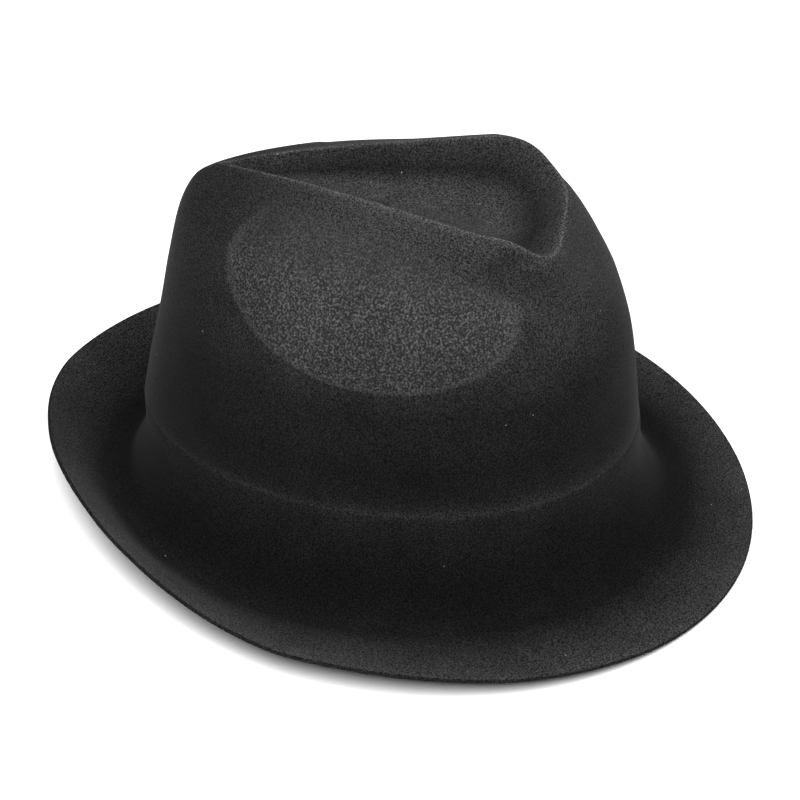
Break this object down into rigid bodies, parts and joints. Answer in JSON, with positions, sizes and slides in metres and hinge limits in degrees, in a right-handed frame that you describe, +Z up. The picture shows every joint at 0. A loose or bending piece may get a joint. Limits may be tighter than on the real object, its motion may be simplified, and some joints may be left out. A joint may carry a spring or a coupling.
{
  "type": "velvet hat",
  "caption": "Velvet fedora-style hat: a moulded shell with a dented, front-pinched crown and a brim lowered in front and turned up behind.",
  "frame": {"origin": "centre of the hat's bounding box, on the level surface that its brim rests on", "axes": "+Z up; the wearer faces -Y; +X is the wearer's left"},
  "size_m": [0.2558, 0.2932, 0.1484],
  "materials": {
    "velvet": "short black velvet pile with a soft grey sheen"
  },
  "bodies": {
    "root": {"hat": "velvet"}
  },
  "joints": []
}
